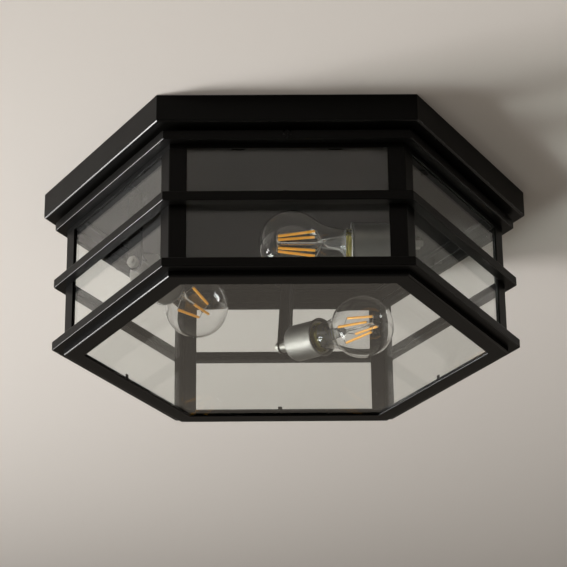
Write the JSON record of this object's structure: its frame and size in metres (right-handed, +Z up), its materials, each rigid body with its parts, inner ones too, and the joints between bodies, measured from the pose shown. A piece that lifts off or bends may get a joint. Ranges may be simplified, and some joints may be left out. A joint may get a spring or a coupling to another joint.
{
  "type": "ceiling lantern",
  "caption": "Hexagonal flush porch ceiling lantern: black banded metal cage with clear glass sides and bottom, round filament bulbs lying level inside.",
  "frame": {"origin": "centre of the ceiling-box screw pattern, on the ceiling plane", "axes": "+Z up into the ceiling, +X toward the right-hand corner of the hexagon, -Y toward the front face"},
  "size_m": [0.4504, 0.39, 0.1635],
  "materials": {
    "black_powder": "satin black powder coat on folded steel",
    "cup_grey": "satin dark grey lacquer on a drawn cup",
    "zinc_steel": "zinc-plated steel",
    "green_steel": "green-dyed steel earth screw",
    "ceramic": "glazed off-white ceramic",
    "brass": "rolled brass, slightly dull",
    "clear_glass": "thin clear blown glass",
    "pane_glass": "clear float glass with polished edges",
    "filament_amber": "amber silicone over LED filaments",
    "grommet_rubber": "black rubber",
    "lead_black": "black lead insulation",
    "connector_orange": "moulded orange plastic"
  },
  "bodies": {
    "canopy": {"mounting_crossbar": "zinc_steel", "canopy_studs": "zinc_steel", "cap_nuts": "black_powder", "ground_screw": "green_steel", "canopy_pan": "black_powder", "canopy_collar": "black_powder", "strap_rivets": "black_powder", "holder_spacers": "zinc_steel", "holder_shells": "brass", "holder_contacts": "brass", "holder_screws": "zinc_steel", "holder_nuts": "zinc_steel", "wire_grommets": "grommet_rubber", "wire_connectors": "connector_orange", "lead_wires": "lead_black", "lamp_strap_1": "black_powder", "holder_cup_1": "cup_grey", "holder_core_1": "ceramic", "lamp_strap_2": "black_powder", "holder_cup_2": "cup_grey", "holder_core_2": "ceramic", "lamp_strap_3": "black_powder", "holder_cup_3": "cup_grey", "holder_core_3": "ceramic"},
    "cage": {"top_frame": "black_powder", "top_band": "black_powder", "middle_band": "black_powder", "low_band": "black_powder", "bottom_frame": "black_powder", "post_front_right": "black_powder", "post_right": "black_powder", "post_back_right": "black_powder", "post_back_left": "black_powder", "post_left": "black_powder", "post_front_left": "black_powder", "pane_front": "pane_glass", "pane_front_right": "pane_glass", "pane_back_right": "pane_glass", "pane_back": "pane_glass", "pane_back_left": "pane_glass", "pane_front_left": "pane_glass", "bottom_pane": "pane_glass", "pane_clips": "black_powder", "glass_tabs": "black_powder", "glass_screws": "black_powder"},
    "bulb_1": {"bulb_glass_1": "clear_glass", "bulb_cap_1": "brass", "bulb_stem_1": "clear_glass", "bulb_filaments_1": "filament_amber"},
    "bulb_2": {"bulb_glass_2": "clear_glass", "bulb_cap_2": "brass", "bulb_stem_2": "clear_glass", "bulb_filaments_2": "filament_amber"},
    "bulb_3": {"bulb_glass_3": "clear_glass", "bulb_cap_3": "brass", "bulb_stem_3": "clear_glass", "bulb_filaments_3": "filament_amber"},
    "side_screw_front": {"side_screw_front": "black_powder"},
    "side_screw_back_right": {"side_screw_back_right": "black_powder"},
    "side_screw_back_left": {"side_screw_back_left": "black_powder"}
  },
  "joints": [
    {"name": "cage_drop", "type": "slide", "parent": "canopy", "child": "cage", "axis": [0, 0, -1], "range_m": [0, 0.16]},
    {"name": "bulb_1_out", "type": "slide", "parent": "canopy", "child": "bulb_1", "axis": [-1, 0, 0], "range_m": [0, 0.03]},
    {"name": "bulb_2_out", "type": "slide", "parent": "canopy", "child": "bulb_2", "axis": [0.4848, 0.8746, 0], "range_m": [0, 0.03]},
    {"name": "bulb_3_out", "type": "slide", "parent": "canopy", "child": "bulb_3", "axis": [0.7039, -0.7039, -0.0959], "range_m": [0, 0.03]},
    {"name": "side_screw_front_out", "type": "slide", "parent": "cage", "child": "side_screw_front", "axis": [0, -1, 0], "range_m": [0, 0.008]},
    {"name": "side_screw_back_right_out", "type": "slide", "parent": "cage", "child": "side_screw_back_right", "axis": [0.866, 0.5, 0], "range_m": [0, 0.008]},
    {"name": "side_screw_back_left_out", "type": "slide", "parent": "cage", "child": "side_screw_back_left", "axis": [-0.866, 0.5, 0], "range_m": [0, 0.008]}
  ]
}
